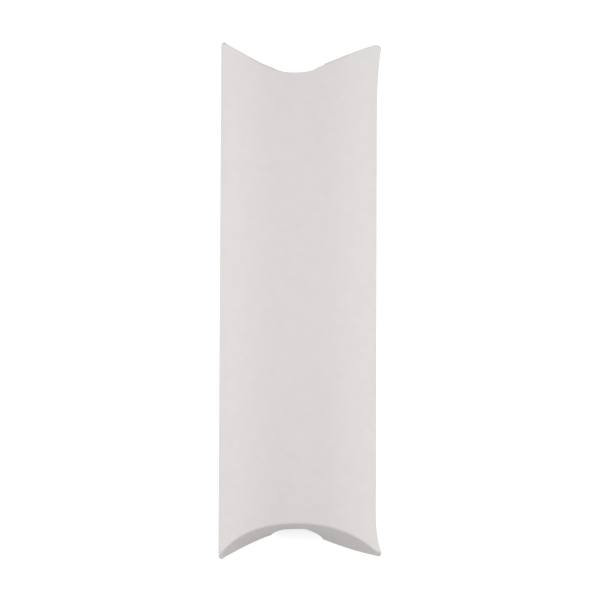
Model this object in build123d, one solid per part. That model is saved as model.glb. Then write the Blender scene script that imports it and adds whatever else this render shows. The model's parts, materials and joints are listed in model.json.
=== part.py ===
"""Pillow box of folded white board, lying on its back panel, modelled in millimetres.

X runs across the box, Y along it with the foot end at -Y, and Z up. The origin is on the surface that the
box lies on, under its middle. A pillow box is one die-cut blank: two arched panels joined by a side crease
and a glued side seam, and at each end an inner flap that folds in first and an outer flap with a thumb notch
that folds over it. The crease of the inner flap is cut through where the thumb goes. The foot's outer flap
hangs from the front panel and the head's stands on the back panel, so a half turn about X carries one end
onto the other. Heights below are first taken from the plane of the side creases, and the finished pieces are
lifted at the end.
"""

from build123d import *
import math
import os

# The whole box
box_width = 64.0
box_length = 210.0
panel_rise = 12.5
board = 0.45
crown_width = 8.0

# The end flaps
outer_flap_spring = 1.6
inner_flap_lean = 1.2
inner_flap_reach_share = 0.56
outer_flap_side_relief = 0.8
inner_flap_side_relief = 6.0
thumb_notch_radius = 10.0
thumb_cut_depth = 1.6
crease_gap = 0.12

# The glued side seam
glue_flap_width = 11.0
glue_flap_end_setback = 20.0
glue_flap_end_taper = 5.0
glue_line_width = 6.0
glue_line_thickness = 0.15
glue_line_clearance = 0.03
glue_line_inset = 2.5
glue_line_end_inset = 4.0

# How far cutting shapes run past what they cut
overrun = 6.0
overrun_turn = 14.0

half_width = box_width / 2
half_length = box_length / 2
half_crown = crown_width / 2
outer_sagitta = panel_rise - outer_flap_spring / 2
inner_sagitta = panel_rise + inner_flap_lean / 2


def arch_radius(sagitta):
    """Radius of the shoulders of an arch, which spans the box: a flat crown between two tangent arcs."""
    return ((half_width - half_crown) ** 2 + sagitta**2) / (2 * sagitta)


def arch_turn(sagitta):
    """Degrees that each shoulder turns between the crown and the side crease."""
    return math.degrees(math.asin((half_width - half_crown) / arch_radius(sagitta)))


def arch_edges(sagitta, crown, grow, turn):
    """Left shoulder, crown and right shoulder of an arch that peaks at crown, moved outward by grow."""
    radius = arch_radius(sagitta) + grow
    centre = crown - arch_radius(sagitta)
    return (
        CenterArc((-half_crown, centre), radius, 90, turn),
        Line((-half_crown, crown + grow), (half_crown, crown + grow)),
        CenterArc((half_crown, centre), radius, 90, -turn),
    )


def arch_band(sagitta, crown, low, high, turn):
    """Face between two offsets of one arch, with square ends."""
    inner = arch_edges(sagitta, crown, low, turn)
    outer = arch_edges(sagitta, crown, high, turn)
    caps = [Line(inner[side] @ 1, outer[side] @ 1) for side in (0, 2)]
    return make_face([*inner, *outer, *caps])


def arch_area(sagitta, crown, grow, turn, floor):
    """Face under an offset arch, down to a straight floor."""
    edges = arch_edges(sagitta, crown, grow, turn)
    left, right = edges[0] @ 1, edges[2] @ 1
    base = Polyline(left, (left.X, floor), (right.X, floor), right)
    return make_face([*edges, base])


def along_length(face):
    """Prism of a cross-section, past both ends of the box."""
    return extrude(Plane.XZ * face, amount=half_length + overrun, both=True)


def full_block(low, high):
    """Box across the whole model between two heights."""
    size = (box_width + 2 * overrun, box_length + 2 * overrun, high - low)
    return Pos(0, 0, (low + high) / 2) * Box(*size)


def leaning_prism(face, slope):
    """Prism of a plan-view face drawn at the side creases' height, leaning along Y by slope."""
    height = panel_rise + overrun
    foot = Plane((0, -half_length - slope * height, -height))
    return extrude(foot * face, amount=2 * height, dir=(0, 2 * slope * height, 2 * height))


def width_limit(relief):
    """Block that keeps what lies at least relief inside both side creases."""
    return Box(box_width - 2 * relief, box_length + 2 * overrun, 2 * (panel_rise + overrun))


def half_turned(shape):
    """The same shape at the other end and on the other panel."""
    return Rot(180, 0, 0) * shape


def under_arch(rise):
    """Everything under an arch that springs from the side creases, well down past them."""
    return along_length(arch_area(rise, rise, 0, arch_turn(rise) + overrun_turn, -2 * panel_rise - overrun))


def lens(rise_up, rise_down):
    """Prism between an upper arch and a lower one, both springing from the side creases."""
    return under_arch(rise_up) & half_turned(under_arch(rise_down))


# Slopes and depths of the two flaps' outer faces, at the height of the side creases
outer_slope = outer_flap_spring / (2 * panel_rise)
inner_slope = inner_flap_lean / (2 * panel_rise)
outer_depth = panel_rise - panel_rise * outer_slope
inner_depth = panel_rise + panel_rise * inner_slope


def thumb_notch():
    """Round bar that clears room for a thumb, centred on the crown of the back panel's foot end."""
    return Pos(0, -half_length, -panel_rise) * Cylinder(thumb_notch_radius, box_length, rotation=(90, 0, 0))


def outer_flap():
    """Foot's outer flap: it hangs from the front panel, down to its notched free edge at the back panel."""
    turn = arch_turn(outer_sagitta) + overrun_turn
    shell = leaning_prism(arch_band(outer_sagitta, outer_depth, 0, board, turn), outer_slope)
    return (shell & lens(panel_rise, panel_rise) & width_limit(outer_flap_side_relief)) - thumb_notch()


def inner_flap():
    """Foot's inner flap: it stands on the back panel behind the outer flap, its crease cut at the thumb."""
    turn = arch_turn(inner_sagitta) + overrun_turn
    shell = leaning_prism(arch_band(inner_sagitta, inner_depth, 0, board, turn), inner_slope)
    free_edge_rise = panel_rise * (2 * inner_flap_reach_share - 1)
    return (shell & lens(free_edge_rise, panel_rise) & width_limit(inner_flap_side_relief)) - thumb_notch()


def end_waste(sagitta, depth, slope):
    """What a flap and its crease gap clear away from the end of the panel that the flap hangs on."""
    turn = arch_turn(sagitta) + overrun_turn
    area = arch_area(sagitta, depth, board + crease_gap, turn, -2 * panel_rise - overrun)
    return leaning_prism(area, slope)


def front_panel():
    """Arched sheet, cut off behind the foot's outer flap and the head's inner flap."""
    turn = arch_turn(panel_rise) + overrun_turn
    sheet = along_length(arch_band(panel_rise, panel_rise, -board, 0, turn))
    sheet = sheet & full_block(0, panel_rise + overrun)
    foot_waste = end_waste(outer_sagitta, outer_depth, outer_slope)
    head_waste = half_turned(end_waste(inner_sagitta, inner_depth, inner_slope))
    thumb_cut = extrude(Ellipse(thumb_notch_radius, thumb_cut_depth), amount=2 * panel_rise)
    return sheet - foot_waste - head_waste - Pos(0, half_length - panel_rise) * thumb_cut


def seam_sheet(low, high, near, far, foot_y):
    """Strip under the front panel's right shoulder, between two distances in from the side crease."""
    turn = arch_turn(panel_rise)
    sheet = along_length(arch_band(panel_rise, panel_rise, low, high, turn + overrun_turn))
    right, left = half_width - near, half_width - far
    end = half_length - foot_y
    left_end = end - glue_flap_end_taper
    plan = Polyline((right, -end), (right, end), (left, left_end), (left, -left_end), close=True)
    return sheet & extrude(make_face(plan), amount=panel_rise)


# Distances in from the front panel's outside to the glue's two faces and to the glue flap
glue_top = board + glue_line_clearance
glue_base = glue_top + glue_line_thickness
glue_flap_top = glue_base + glue_line_clearance


def glue_flap():
    """Narrow flap folded in from the back panel at the right side crease, stuck under the front panel."""
    strip = seam_sheet(-glue_flap_top - board, -glue_flap_top, 0, glue_flap_width, glue_flap_end_setback)
    return strip & full_block(0, panel_rise)


def glue_line():
    """Band of adhesive between the glue flap and the front panel."""
    near, far = glue_line_inset, glue_line_inset + glue_line_width
    return seam_sheet(-glue_base, -glue_top, near, far, glue_flap_end_setback + glue_line_end_inset)


def write(name, shape):
    """Lifts a piece onto the surface that the box lies on, and writes it."""
    lifted = Pos(0, 0, panel_rise) * shape
    export_step(Compound(children=list(lifted.solids())), os.path.join("parts", name + ".step"))


os.makedirs("parts", exist_ok=True)
panel = front_panel()
outer = outer_flap()
inner = inner_flap()
write("front_panel", panel)
write("back_panel", half_turned(panel))
write("glue_flap", glue_flap())
write("glue_line", glue_line())
write("foot_outer_flap", outer)
write("foot_inner_flap", inner)
write("head_outer_flap", half_turned(outer))
write("head_inner_flap", half_turned(inner))
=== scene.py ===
"""Looks of a folded pillow box in plain white board, lying on its back panel on a white table.

Every sheet that shows is a closed shell of the board's thickness, made of columns of points that
run along the box or down a flap. All the shapes are made on the front panel, whose foot end
carries an outer flap and whose head end carries an inner flap, and a half turn about the width
makes their partners on the back panel.
"""

import json
import math

import bmesh
import bpy
from mathutils import Matrix, Vector


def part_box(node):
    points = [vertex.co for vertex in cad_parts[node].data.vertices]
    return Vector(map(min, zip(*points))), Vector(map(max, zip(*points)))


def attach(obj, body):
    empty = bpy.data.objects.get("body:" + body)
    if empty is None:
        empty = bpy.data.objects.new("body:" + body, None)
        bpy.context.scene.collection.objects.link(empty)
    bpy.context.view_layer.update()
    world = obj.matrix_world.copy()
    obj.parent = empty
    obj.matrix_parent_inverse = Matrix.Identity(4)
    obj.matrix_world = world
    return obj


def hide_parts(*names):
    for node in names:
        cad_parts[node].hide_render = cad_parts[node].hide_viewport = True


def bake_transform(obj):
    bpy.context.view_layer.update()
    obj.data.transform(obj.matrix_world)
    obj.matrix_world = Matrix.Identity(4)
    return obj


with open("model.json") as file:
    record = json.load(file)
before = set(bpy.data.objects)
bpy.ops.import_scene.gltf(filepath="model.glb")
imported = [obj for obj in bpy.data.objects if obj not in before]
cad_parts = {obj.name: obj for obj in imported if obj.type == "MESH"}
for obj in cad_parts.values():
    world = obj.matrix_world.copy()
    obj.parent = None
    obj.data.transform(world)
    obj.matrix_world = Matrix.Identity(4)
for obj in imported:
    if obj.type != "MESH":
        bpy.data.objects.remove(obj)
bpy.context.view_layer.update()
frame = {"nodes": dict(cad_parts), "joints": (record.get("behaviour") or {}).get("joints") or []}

MM = 0.001
FOOT, HEAD = -1, 1
OUTSIDE, INSIDE, CUT_EDGE = 0, 1, 2

# How far the sides draw in between the corners, as the panels bulge
waist = 0.55 * MM

# The box, from the frame
panel_low, panel_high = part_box("front_panel")
half_width = panel_high.x - waist
mid_height = panel_low.z
rise = panel_high.z - mid_height
crown_height = mid_height + rise
joints = {joint["name"]: joint for joint in frame["joints"]}
hinge_y, hinge_z = joints["foot_outer_crease"]["pos_m"][1:]
board = 2 * (crown_height - hinge_z)
half_length = rise + board / 2 - hinge_y

# Turns that bring a flap in line with its panel: a quarter turn, and the inner flap's own limit
outer_flap_turn = math.pi / 2
inner_flap_turn = math.radians(joints["foot_inner_crease"]["range_deg"][1])

# The section of a panel
half_crown = 4 * MM
shoulder_radius = ((half_width - half_crown) ** 2 + rise**2) / (2 * rise)
side_fold_reach = 0.35 * MM
side_fold_setback = 0.1 * MM

# The creases and the flaps
fold_reach = 1.2 * MM
inner_fold_reach = 0.15 * MM
flap_right = half_width - 0.5 * MM
flap_gap = 0.04 * MM
notch_radius = 10.3 * MM
inner_flap_half_width = 26 * MM
inner_flap_reach = 14 * MM
inner_flap_lean = 0.5 * MM

# The two ends, each named for the outer flap that starts there, at flap_left. Depths are counted
# in from the tips. The flap's crease and free edge each have a depth in the middle and one at the
# side, and a cut, the least depth that they come to, which squares off the tips. The free edge is
# level as far out as level, and then more bowed with a higher power. The thumb cut is in the panel
# that the flap closes against, and is fuller with a lower power. The corner on the right, the seam
# side, splays, and both corners are clipped at a slant within clip of the tips.
foot_end = {
    "flap_left": 0.5 * MM - half_width,
    "crease_middle": 11.75 * MM,
    "edge_middle": 12.8 * MM,
    "left": {
        "crease_side": 0, "crease_cut": 0.6 * MM,
        "edge_side": -1.1 * MM, "edge_cut": -0.3 * MM, "level": 5.3 * MM, "power": 1.45,
        "clip": 0.9 * MM, "slant": 0.5,
    },
    "right": {
        "crease_side": 0.7 * MM, "crease_cut": 2.6 * MM,
        "edge_side": 0.8 * MM, "edge_cut": 0.8 * MM, "level": 3.6 * MM, "power": 1,
        "clip": 2.2 * MM, "slant": 0.4,
    },
    "thumb_cut": {"centre": 0, "half_width": notch_radius, "depth": 2 * MM, "power": 0.5},
    "splay": 3.25 * MM, "splay_length": 22 * MM,
}
head_end = {
    "flap_left": 1.2 * MM - half_width,
    "crease_middle": 12.6 * MM,
    "edge_middle": 12.65 * MM,
    "left": {
        "crease_side": 0, "crease_cut": -0.2 * MM,
        "edge_side": -1.1 * MM, "edge_cut": -0.2 * MM, "level": 10 * MM, "power": 1.25,
        "clip": 0.6 * MM, "slant": 0.7,
    },
    "right": {
        "crease_side": 0, "crease_cut": 1.2 * MM,
        "edge_side": -0.35 * MM, "edge_cut": 0.95 * MM, "level": 5.5 * MM, "power": 1.16,
        "clip": 1.8 * MM, "slant": 0.3,
    },
    "thumb_cut": {"centre": -1.8 * MM, "half_width": 9.2 * MM, "depth": 1.56 * MM, "power": 1},
    "splay": 2 * MM, "splay_length": 36 * MM,
}

# How fast a corner's splay and clip die away towards the middle of the box
splay_power = 3

# How finely the sheets are divided
column_spacing = 1 * MM
notch_column_count = 28
fold_row_count = 6
flap_row_count = 24
panel_row_count = 100
end_band = 2.4 * MM
end_row_count = 8

# A step too small to see, for cuts across a sheet and to keep a divisor from nought
hair = 0.001 * MM

# The looks. Colours are screen colours in 255ths, and a pattern's scale is in cells per metre. The
# colour runs from dark to light between the pattern's two values of contrast. The relief is a
# second pattern, or else the first.
board_clouds = {"scale": 260, "detail": 5}
board_fibres = {"scale": 5200, "detail": 4, "stretch": (1, 0.28, 1)}
outside_look = {
    "dark": (220, 214, 213), "light": (223, 217, 216), "pattern": board_clouds,
    "contrast": (0.3, 0.7), "relief": board_fibres, "bump": 0.35, "bump_distance": 0.02 * MM,
    "roughness": 0.7, "specular": 0.35,
}
inside_look = {
    **outside_look, "dark": (208, 204, 200), "light": (214, 210, 206), "bump": 0.6,
    "roughness": 0.85,
}
cut_edge_look = {
    "dark": (214, 209, 205), "light": (228, 223, 220),
    "pattern": {"scale": 9000, "detail": 3, "stretch": (0.12, 0.12, 1)},
    "contrast": (0.35, 0.65), "bump": 0.5, "bump_distance": 0.03 * MM,
    "roughness": 0.9, "specular": 0.5,
}
glue_look = {
    "dark": (214, 208, 190), "light": (228, 224, 210), "pattern": {"scale": 900, "detail": 4},
    "contrast": (0.35, 0.65), "bump": 0.4, "bump_distance": 0.05 * MM,
    "roughness": 0.35, "specular": 0.5,
}

# The camera, in metres. A pixel is what one covers on the box.
pixel = 0.4 * MM
frame_width_px = 600
box_centre_px = (298.1, 299.7)
camera_elevation = math.radians(79)
camera_distance = 4.0
camera_reach = 12.0
camera_roll = math.radians(0.23)

# The light, in metres. A level is how bright a white sheet gets that faces the light.
world_strength = 0.45
top_light = {
    "level": 0.42, "distance": 0.35, "toward": (0, 0.05, 1), "size": (0.3, 0.3),
    "colour": (1, 1, 1),
}
left_light = {
    "level": 0.5, "distance": 1.3, "toward": (-1, 0, 0.21), "size": (1.8, 0.4),
    "colour": (0.93, 1, 0.98),
}
right_light = {**left_light, "toward": (1, 0, 0.21)}

# The table
floor_size = 12
floor_albedo = 0.64
floor_lift = 0.72


def smooth(value):
    """Smooth step of a value that runs from nought to one."""
    held = min(1.0, max(0.0, value))
    return held * held * (3 - 2 * held)


def drop(x):
    """How far a panel's outside lies below its crown."""
    side = max(0.0, abs(x) - half_crown)
    return shoulder_radius - math.sqrt(shoulder_radius**2 - side**2)


def tilt(x):
    """Angle of a panel's shoulder."""
    return math.asin(max(0.0, abs(x) - half_crown) / shoulder_radius)


def on_side(end, x):
    """What an end has on the side that a place is on."""
    return end["right" if x > 0 else "left"]


def crease_depth(x, end):
    """Depth, in from the tips, of the crease that carries an outer flap.

    The crease is bowed by two parts of a parabola and one part of a fuller, sixth power.
    """
    side = on_side(end, x)
    out = abs(x) / half_width
    bow = (2 * out**2 + out**6) / 3
    middle = end["crease_middle"]
    return max(middle + (side["crease_side"] - middle) * bow, side["crease_cut"])


def edge_depth(x, end):
    """Depth of an outer flap's free edge."""
    side = on_side(end, x)
    out = max(0.0, abs(x) - side["level"]) / (half_width - side["level"])
    bow = out ** side["power"]
    middle = end["edge_middle"]
    return max(middle + (side["edge_side"] - middle) * bow, side["edge_cut"])


def outer_flap_depth(x, share, end):
    """Depth of an outer flap's face at a share of the way from its crease to its free edge."""
    return crease_depth(x, end) * (1 - share) + edge_depth(x, end) * share


def inner_flap_depth(x, share, end):
    """Depth of an inner flap's face, just behind the outer flap's, at a share of the height."""
    return outer_flap_depth(x, 1 - share, end) + board + flap_gap + inner_flap_lean * share


def thumb_cut_depth(x, end):
    """How far the thumb cut runs into the panel at a place across it."""
    cut = end["thumb_cut"]
    inside = max(0.0, 1 - ((x - cut["centre"]) / cut["half_width"]) ** 2)
    return cut["depth"] * inside ** cut["power"]


def notch_depth(x):
    """Height of the round notch at a place across it, and nought outside it."""
    return math.sqrt(max(0.0, notch_radius**2 - x**2))


def outer_fold_reach(x):
    """Reach of the fold at an outer flap's crease: it tapers off where the panels come together."""
    return min(fold_reach, rise - drop(x))


def splay(point):
    """Moves a point with its corner: the seam side's stand out sideways, and all are clipped."""
    end = foot_end if point.y < 0 else head_end
    side = on_side(end, point.x)
    depth = half_length - abs(point.y)
    out = abs(point.x) / half_width
    shift = -side["slant"] * max(0.0, side["clip"] - depth)
    if point.x > 0:
        near_tip = max(0.0, 1 - max(depth, side["clip"]) / end["splay_length"])
        shift += end["splay"] * near_tip**splay_power
    moved_x = point.x + math.copysign(1, point.x) * shift * out**splay_power
    return Vector((moved_x, point.y, point.z))


def splay_turned(point):
    """The same place on the other panel, at the other end."""
    return splay(Vector((point.x, -point.y, 2 * mid_height - point.z)))


def fold(start, corner, end, count):
    """Points of a rounded fold from start to end, drawn towards its corner."""
    shares = [step / count for step in range(count + 1)]
    return [(1 - s) ** 2 * start + 2 * s * (1 - s) * corner + s**2 * end for s in shares]


def spaced(stops, spacing):
    """Places from the first stop to the last, with each stop among them."""
    places = []
    for low, high in zip(stops, stops[1:]):
        count = max(1, math.ceil((high - low) / spacing))
        places += [low + (high - low) * step / count for step in range(count)]
    return [*places, stops[-1]]


def across(left_stops, right_stops):
    """Columns across a sheet, drawn together at the ends of the round notch in its middle."""
    turns = [math.pi * k / notch_column_count for k in range(1, notch_column_count)]
    middle = [-notch_radius * math.cos(turn) for turn in turns]
    left = spaced([*left_stops, -notch_radius, hair - notch_radius], column_spacing)
    right = spaced([notch_radius - hair, notch_radius, *right_stops], column_spacing)
    return [*left, *middle, *right]


def section(x):
    """The panel's outside in X and Z: the arch, then a tight turn into the side crease."""
    start = half_width - side_fold_reach
    if abs(x) <= start:
        return x, crown_height - drop(x)
    share = (abs(x) - start) / side_fold_reach
    wall = half_width - side_fold_setback
    arch = Vector((start, crown_height - drop(start)))
    corner = Vector((wall, arch.y - math.tan(tilt(start)) * (wall - start)))
    crease = Vector((wall, mid_height))
    place = (1 - share) ** 2 * arch + 2 * share * (1 - share) * corner + share**2 * crease
    return math.copysign(place.x, x), place.y


def panel_ends(x, own, facing):
    """Foot and head ends of the front panel: where a flap's fold starts, or else a cut edge.

    The panel carries the outer flap of its own end, and closes against that of the facing end.
    """
    foot = crease_depth(x, own)
    if own["flap_left"] <= x <= flap_right:
        foot += outer_fold_reach(x)
    head = edge_depth(x, facing)
    if x >= facing["flap_left"]:
        head += board + flap_gap
    if abs(x) < notch_radius:
        head += thumb_cut_depth(x, facing)
    elif abs(x) <= inner_flap_half_width:
        head += inner_fold_reach
    return foot - half_length, half_length - head


def panel_columns(own, facing):
    """Places across the front panel, with a pair of them at each cut beside a flap."""
    start = half_width - side_fold_reach
    lefts = {-start}
    for end in (own, facing):
        lefts |= {end["flap_left"] - hair, end["flap_left"]}
    left_stops = [*sorted(lefts), -inner_flap_half_width - hair, -inner_flap_half_width]
    right_stops = [inner_flap_half_width, inner_flap_half_width + hair]
    right_stops += [flap_right, flap_right + hair, start]
    edge = [start + side_fold_reach * k / fold_row_count for k in range(1, fold_row_count + 1)]
    return [*(-x for x in reversed(edge)), *across(left_stops, right_stops), *edge]


def panel_grids(own, facing):
    """Outside and inside points of the front panel."""
    outer, inner = [], []
    for x in panel_columns(own, facing):
        foot, head = panel_ends(x, own, facing)
        wide, high = section(x)
        under_x = wide - math.copysign(math.sin(tilt(x)) * board, x)
        under_z = max(mid_height, high - math.cos(tilt(x)) * board)
        near, far = foot + end_band, head - end_band
        rows = spaced([foot, near], end_band / end_row_count)
        rows += [near + (far - near) * k / panel_row_count for k in range(1, panel_row_count)]
        rows += spaced([far, head], end_band / end_row_count)
        outer.append([Vector((wide, y, high)) for y in rows])
        inner.append([Vector((under_x, y, under_z)) for y in rows])
    return outer, inner


def turn_share(lead, out, sunk, down, reach, opening):
    """Share of the flap's turn that a point takes.

    With these shares, a flap turned by opening runs on from its arched panel. The crease lies
    lead beyond the hinge and sunk below the crown. The point lies out beyond the hinge and down
    below the crease, and it has to come to lie as far beyond the crease as it was below it.
    """
    low = max(sunk - board / 2, hair)
    below = max(down, 0.0)
    turn = math.atan2(lead + below, low) - math.atan2(out, low + below)
    past_fold = smooth((down + reach) / (2 * reach))
    return past_fold * min(1.0, max(0.0, turn / opening))


def flap_column(x, side, depth, reach, top, low, opening):
    """Outside and inside points down one column of a flap, and each point's share of its turn.

    The column starts with its fold, whose reach is given, or else at a cut edge whose height is
    the top, and ends at the height low. Turned by opening, the flap is in line with its panel.
    """
    folded = top is None
    crease_z = crown_height - drop(x)
    height = 2 * (crease_z - mid_height)
    thick = board / math.cos(tilt(x))

    def point(z, inset):
        share = min(1.0, (crease_z - z) / height)
        return Vector((x, side * (half_length - depth(x, share) - inset), z))

    def column(inset):
        rows = flap_row_count if folded else flap_row_count + fold_row_count
        start = crease_z - reach if folded else top
        straight = [point(start + (low - start) * row / rows, inset) for row in range(rows + 1)]
        if not folded:
            return straight
        corner = point(crease_z, inset) - Vector((0, 0, inset))
        start = Vector((x, side * (half_length - depth(x, 0) - reach), corner.z))
        return fold(start, corner, straight[0], fold_row_count) + straight[1:]

    outside, inside = column(0), column(thick)
    lead = abs(point(crease_z, 0).y) - abs(hinge_y)
    turned = fold_row_count if folded else 0
    places = [(lead, reach * (2 * row / fold_row_count - 1)) for row in range(turned)]
    places += [(abs(p.y) - abs(hinge_y), crease_z - p.z) for p in outside[turned:]]
    shares = [turn_share(lead, out, drop(x), down, reach, opening) for out, down in places]
    return outside, inside, shares


def outer_flap_grids(end):
    """Points of an end's outer flap, hung from the front panel's foot end, and their shares."""
    def depth(x, share):
        return outer_flap_depth(x, share, end)

    made = []
    for x in across([end["flap_left"]], [flap_right]):
        reach = outer_fold_reach(x)
        low = 2 * mid_height - crown_height + max(drop(x), notch_depth(x))
        made.append(flap_column(x, FOOT, depth, reach, None, low, outer_flap_turn))
    return zip(*made)


def inner_flap_grids(end):
    """Points of an end's inner flap, hung from the front panel's head end, and their shares."""
    def depth(x, share):
        return inner_flap_depth(x, share, end)

    made = []
    for x in across([-inner_flap_half_width], [inner_flap_half_width]):
        low = mid_height - (inner_flap_reach - rise) * (1 - drop(x) / rise)
        notched = abs(x) < notch_radius
        top = crown_height - max(drop(x), notch_depth(x)) if notched else None
        made.append(flap_column(x, HEAD, depth, inner_fold_reach, top, low, inner_flap_turn))
    return zip(*made)


def shell(name, outer, inner, place):
    """Closed sheet between two grids of points, in three materials: outside, inside, cut edge."""
    mesh = bpy.data.meshes.new(name)
    build = bmesh.new()
    grids = [[[build.verts.new(place(p)) for p in column] for column in grid]
             for grid in (outer, inner)]
    last_column, last_row = len(grids[0]) - 1, len(grids[0][0]) - 1
    for side, grid in zip((OUTSIDE, INSIDE), grids):
        for near, far in zip(grid, grid[1:]):
            for row in range(last_row):
                corners = [near[row], far[row], far[row + 1], near[row + 1]]
                made = build.faces.new(corners if side == OUTSIDE else corners[::-1])
                made.material_index = side
                made.smooth = True
    # The cut edge, all the way round
    border = [(0, row) for row in range(last_row)]
    border += [(column, last_row) for column in range(last_column)]
    border += [(last_column, row) for row in range(last_row, 0, -1)]
    border += [(column, 0) for column in range(last_column, 0, -1)]
    for (i, j), (k, m) in zip(border, border[1:] + border[:1]):
        corners = [grids[0][i][j], grids[0][k][m], grids[1][k][m], grids[1][i][j]]
        made = build.faces.new(corners)
        made.material_index = CUT_EDGE
        for edge in made.edges:
            edge.smooth = False
    bmesh.ops.recalc_face_normals(build, faces=build.faces)
    build.to_mesh(mesh)
    build.free()
    piece = bpy.data.objects.new(name, mesh)
    bpy.context.scene.collection.objects.link(piece)
    for material in sheet_materials:
        mesh.materials.append(material)
    return piece


def add_panel(node, grids, place):
    """Panel in place of a CAD panel."""
    piece = shell(node + "_board", *grids, place)
    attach(piece, "sleeve")
    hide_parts(node)


def add_flap(node, grids, place):
    """Flap in place of a CAD flap.

    Each point's share of the hinge's turn is worked out, but not used.
    """
    outer, inner, shares = (list(part) for part in grids)
    piece = shell(node + "_board", outer, inner, place)
    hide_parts(node)
    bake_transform(piece)


def linear(red, green, blue):
    """Linear colour of a screen colour given in 255ths, by the sRGB curve."""
    def channel(value):
        share = value / 255
        return share / 12.92 if share <= 0.04045 else ((share + 0.055) / 1.055) ** 2.4
    return (channel(red), channel(green), channel(blue), 1)


def noise(tree, scale, detail, stretch=(1, 1, 1)):
    """Noise in the shared frame's metres, drawn out along an axis whose stretch is small."""
    place = tree.nodes.new("ShaderNodeTexCoord")
    mapping = tree.nodes.new("ShaderNodeMapping")
    mapping.inputs["Scale"].default_value = stretch
    texture = tree.nodes.new("ShaderNodeTexNoise")
    texture.inputs["Scale"].default_value = scale
    texture.inputs["Detail"].default_value = detail
    tree.links.new(place.outputs["Object"], mapping.inputs["Vector"])
    tree.links.new(mapping.outputs["Vector"], texture.inputs["Vector"])
    return texture.outputs["Fac"]


def mixed(tree, factor, low, high, from_value, to_value):
    """Colour that runs from low to high as the factor runs between two values."""
    ramp = tree.nodes.new("ShaderNodeMapRange")
    ramp.inputs["From Min"].default_value = from_value
    ramp.inputs["From Max"].default_value = to_value
    blend = tree.nodes.new("ShaderNodeMix")
    blend.data_type = "RGBA"
    blend.inputs["A"].default_value = low
    blend.inputs["B"].default_value = high
    tree.links.new(factor, ramp.inputs["Value"])
    tree.links.new(ramp.outputs["Result"], blend.inputs["Factor"])
    return blend.outputs["Result"]


def bumped(tree, body, height, strength, distance):
    """Bump from a height, in the shader's normal."""
    bump = tree.nodes.new("ShaderNodeBump")
    bump.inputs["Strength"].default_value = strength
    bump.inputs["Distance"].default_value = distance
    tree.links.new(height, bump.inputs["Height"])
    tree.links.new(bump.outputs["Normal"], body.inputs["Normal"])


def material_of(name, look):
    """Material with a patterned body colour and a fine relief."""
    material = bpy.data.materials.new(name)
    material.use_nodes = True
    tree = material.node_tree
    body = tree.nodes["Principled BSDF"]
    pattern = noise(tree, **look["pattern"])
    relief = noise(tree, **look["relief"]) if "relief" in look else pattern
    dark, light = linear(*look["dark"]), linear(*look["light"])
    colour = mixed(tree, pattern, dark, light, *look["contrast"])
    tree.links.new(colour, body.inputs["Base Color"])
    bumped(tree, body, relief, look["bump"], look["bump_distance"])
    body.inputs["Roughness"].default_value = look["roughness"]
    body.inputs["Specular IOR Level"].default_value = look["specular"]
    return material


def add_camera():
    """Long lens at the photograph's angle, so far off that the box keeps its width all along."""
    data = bpy.data.cameras.new("camera")
    camera = bpy.data.objects.new("camera", data)
    bpy.context.scene.collection.objects.link(camera)
    data.lens = data.sensor_width * camera_distance / (frame_width_px * pixel)
    data.clip_end = camera_reach
    back = Vector((0, -math.cos(camera_elevation), math.sin(camera_elevation)))
    aim_x = (frame_width_px / 2 - box_centre_px[0]) * pixel
    aim_y = (box_centre_px[1] - frame_width_px / 2) * pixel / math.sin(camera_elevation)
    aim = Vector((aim_x, aim_y, mid_height))
    facing = (-back).to_track_quat("-Z", "Y").to_matrix().to_4x4()
    turn = facing @ Matrix.Rotation(camera_roll, 4, "Z")
    camera.matrix_world = Matrix.Translation(aim + back * camera_distance) @ turn
    bpy.context.scene.camera = camera


def camera_white(tree, base, strength):
    """The base shader, with plain white light added for camera, glossy and clear rays."""
    path = tree.nodes.new("ShaderNodeLightPath")
    seen = path.outputs["Is Camera Ray"]
    for ray in ("Is Glossy Ray", "Is Transmission Ray"):
        larger = tree.nodes.new("ShaderNodeMath")
        larger.operation = "MAXIMUM"
        tree.links.new(seen, larger.inputs[0])
        tree.links.new(path.outputs[ray], larger.inputs[1])
        seen = larger.outputs[0]
    scaled = tree.nodes.new("ShaderNodeMath")
    scaled.operation = "MULTIPLY"
    scaled.inputs[1].default_value = strength
    tree.links.new(seen, scaled.inputs[0])
    glow = tree.nodes.new("ShaderNodeEmission")
    tree.links.new(scaled.outputs[0], glow.inputs["Strength"])
    added = tree.nodes.new("ShaderNodeAddShader")
    tree.links.new(base, added.inputs[0])
    tree.links.new(glow.outputs[0], added.inputs[1])
    return added.outputs[0]


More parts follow.
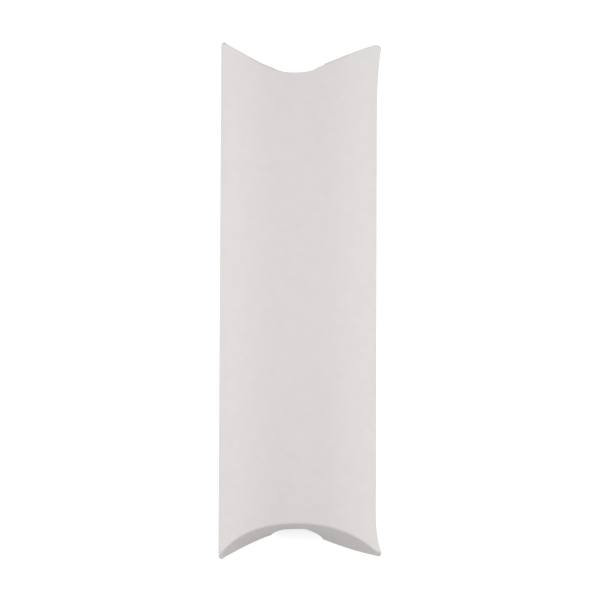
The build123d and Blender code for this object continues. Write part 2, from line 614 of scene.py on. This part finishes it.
def add_floor():
    """White table, lifted to the photograph's white for the camera, with the box's shadow on it."""
    bpy.ops.mesh.primitive_plane_add(size=floor_size)
    floor = bpy.context.object
    floor.name = "floor"
    material = bpy.data.materials.new("white_table")
    material.use_nodes = True
    tree = material.node_tree
    tree.nodes.clear()
    plain = tree.nodes.new("ShaderNodeBsdfDiffuse")
    plain.inputs["Color"].default_value = (floor_albedo, floor_albedo, floor_albedo, 1)
    output = tree.nodes.new("ShaderNodeOutputMaterial")
    lifted = camera_white(tree, plain.outputs[0], floor_lift)
    tree.links.new(lifted, output.inputs["Surface"])
    floor.data.materials.append(material)


def add_world():
    """Even light from all round, white to the camera."""
    world = bpy.data.worlds.new("studio")
    bpy.context.scene.world = world
    world.use_nodes = True
    tree = world.node_tree
    even = tree.nodes["Background"]
    even.inputs["Color"].default_value = (1, 1, 1, 1)
    even.inputs["Strength"].default_value = world_strength
    lit = camera_white(tree, even.outputs[0], 1 - world_strength)
    tree.links.new(lit, tree.nodes["World Output"].inputs["Surface"])


def add_light(name, light):
    """Soft light that faces the box, with its power worked out from its level."""
    data = bpy.data.lights.new(name, "AREA")
    data.shape = "RECTANGLE"
    data.size, data.size_y = light["size"]
    data.energy = light["level"] * (math.pi * light["distance"]) ** 2
    data.color = light["colour"]
    lamp = bpy.data.objects.new(name, data)
    lamp.visible_camera = False
    bpy.context.scene.collection.objects.link(lamp)
    toward = Vector(light["toward"]).normalized()
    turn = (-toward).to_track_quat("-Z", "Y").to_matrix().to_4x4()
    lamp.matrix_world = Matrix.Translation(toward * light["distance"]) @ turn


add_camera()
add_world()
add_floor()
add_light("top_light", top_light)
add_light("left_light", left_light)
add_light("right_light", right_light)

board_outside = material_of("board_outside", outside_look)
board_inside = material_of("board_inside", inside_look)
board_cut_edge = material_of("board_cut_edge", cut_edge_look)
dried_glue = material_of("dried_glue", glue_look)
sheet_materials = (board_outside, board_inside, board_cut_edge)

add_panel("front_panel", panel_grids(foot_end, head_end), splay)
add_panel("back_panel", panel_grids(head_end, foot_end), splay_turned)
add_flap("foot_outer_flap", outer_flap_grids(foot_end), splay)
add_flap("head_outer_flap", outer_flap_grids(head_end), splay_turned)
add_flap("head_inner_flap", inner_flap_grids(head_end), splay)
add_flap("foot_inner_flap", inner_flap_grids(foot_end), splay_turned)
for node, material in (("glue_flap", board_inside), ("glue_line", dried_glue)):
    for slot in frame["nodes"][node].material_slots:
        slot.material = material

view = bpy.context.scene.view_settings
view.view_transform = "Standard"
